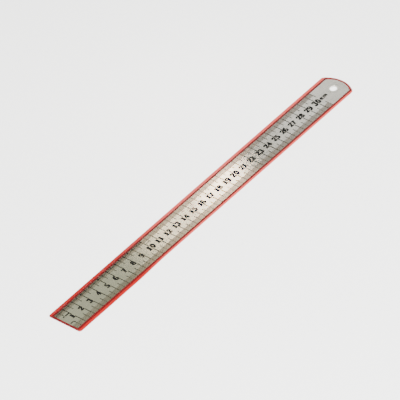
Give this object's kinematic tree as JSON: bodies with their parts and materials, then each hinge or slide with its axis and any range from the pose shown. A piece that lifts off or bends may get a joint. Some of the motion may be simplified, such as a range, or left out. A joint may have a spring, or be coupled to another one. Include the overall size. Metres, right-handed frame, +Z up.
{
  "type": "steel ruler",
  "caption": "Thin steel ruler with a rounded, holed hanging end, in a flat pocket sleeve with a red back, clear front and welded edges; the ruler slides out of the mouth.",
  "frame": {"origin": "middle of the sleeve's underside, on the surface that the ruler lies on", "axes": "+X along the scale towards the hanging hole, +Y to the long edge that the tops of the numerals face, +Z up out of the graduated face"},
  "size_m": [0.3332, 0.032, 0.0018],
  "materials": {
    "stainless_steel": "satin brushed stainless steel",
    "red_vinyl": "soft glossy red vinyl",
    "clear_vinyl": "thin clear glossy vinyl film",
    "black_scale_ink": "matt black etched and filled graduations"
  },
  "bodies": {
    "sleeve": {"sleeve_back_sheet": "red_vinyl", "sleeve_front_window": "clear_vinyl", "top_edge_seam": "red_vinyl", "bottom_edge_seam": "red_vinyl", "closed_end_seam": "red_vinyl"},
    "ruler": {"ruler_blade": "stainless_steel"}
  },
  "joints": [
    {"name": "ruler_slide", "type": "slide", "parent": "sleeve", "child": "ruler", "axis": [1, 0, 0], "range_m": [0, 0.34]}
  ]
}
